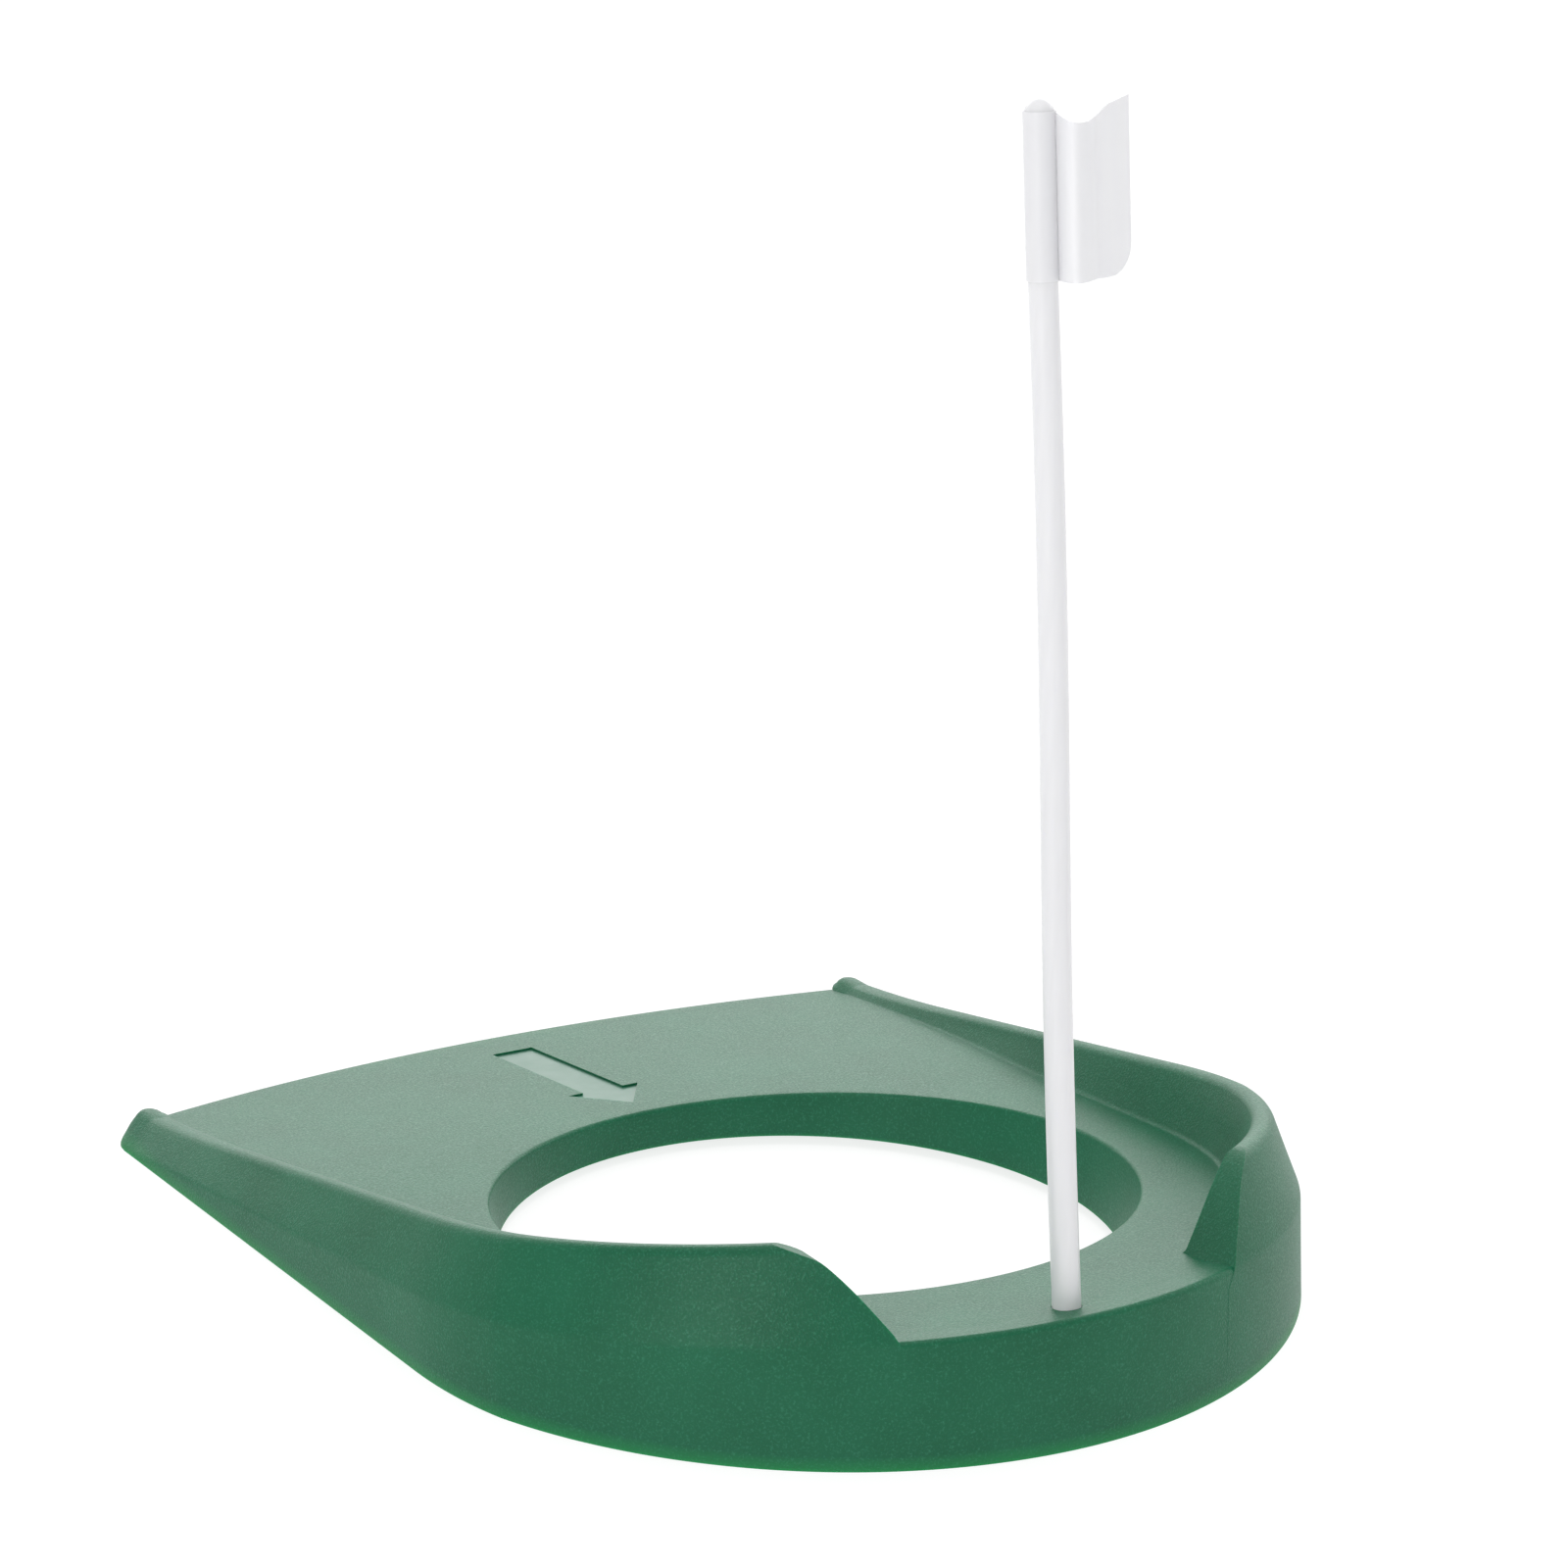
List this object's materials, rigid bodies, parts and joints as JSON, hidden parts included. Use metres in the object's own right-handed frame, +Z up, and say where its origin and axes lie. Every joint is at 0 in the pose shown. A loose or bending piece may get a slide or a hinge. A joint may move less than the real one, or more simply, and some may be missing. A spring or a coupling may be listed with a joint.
{
  "type": "putting cup",
  "caption": "Putting practice cup: sloping ramp base with raised side walls round an open cup hole, and a lift-out stick with a small flag.",
  "frame": {"origin": "on the ground, at the middle of the base's bounding box in plan", "axes": "+Z up, +Y towards the low entrance of the ramp, X across the base"},
  "size_m": [0.1656, 0.2015, 0.2156],
  "materials": {
    "green_plastic": "fine-grained satin moulding",
    "white_plastic": "smooth",
    "milky_sheet": "thin translucent sheet"
  },
  "bodies": {
    "base": {"base": "green_plastic"},
    "flagstick": {"flagstick": "white_plastic"},
    "flag": {"flag": "milky_sheet"}
  },
  "joints": [
    {"name": "stick_lift", "type": "slide", "parent": "base", "child": "flagstick", "axis": [0, 0.124, 0.9923], "range_m": [0, 0.03]},
    {"name": "flag_turn", "type": "hinge", "parent": "flagstick", "child": "flag", "pos_m": [0, -0.09154, 0.0211], "axis": [0, 0.124, 0.9923], "continuous": true}
  ]
}
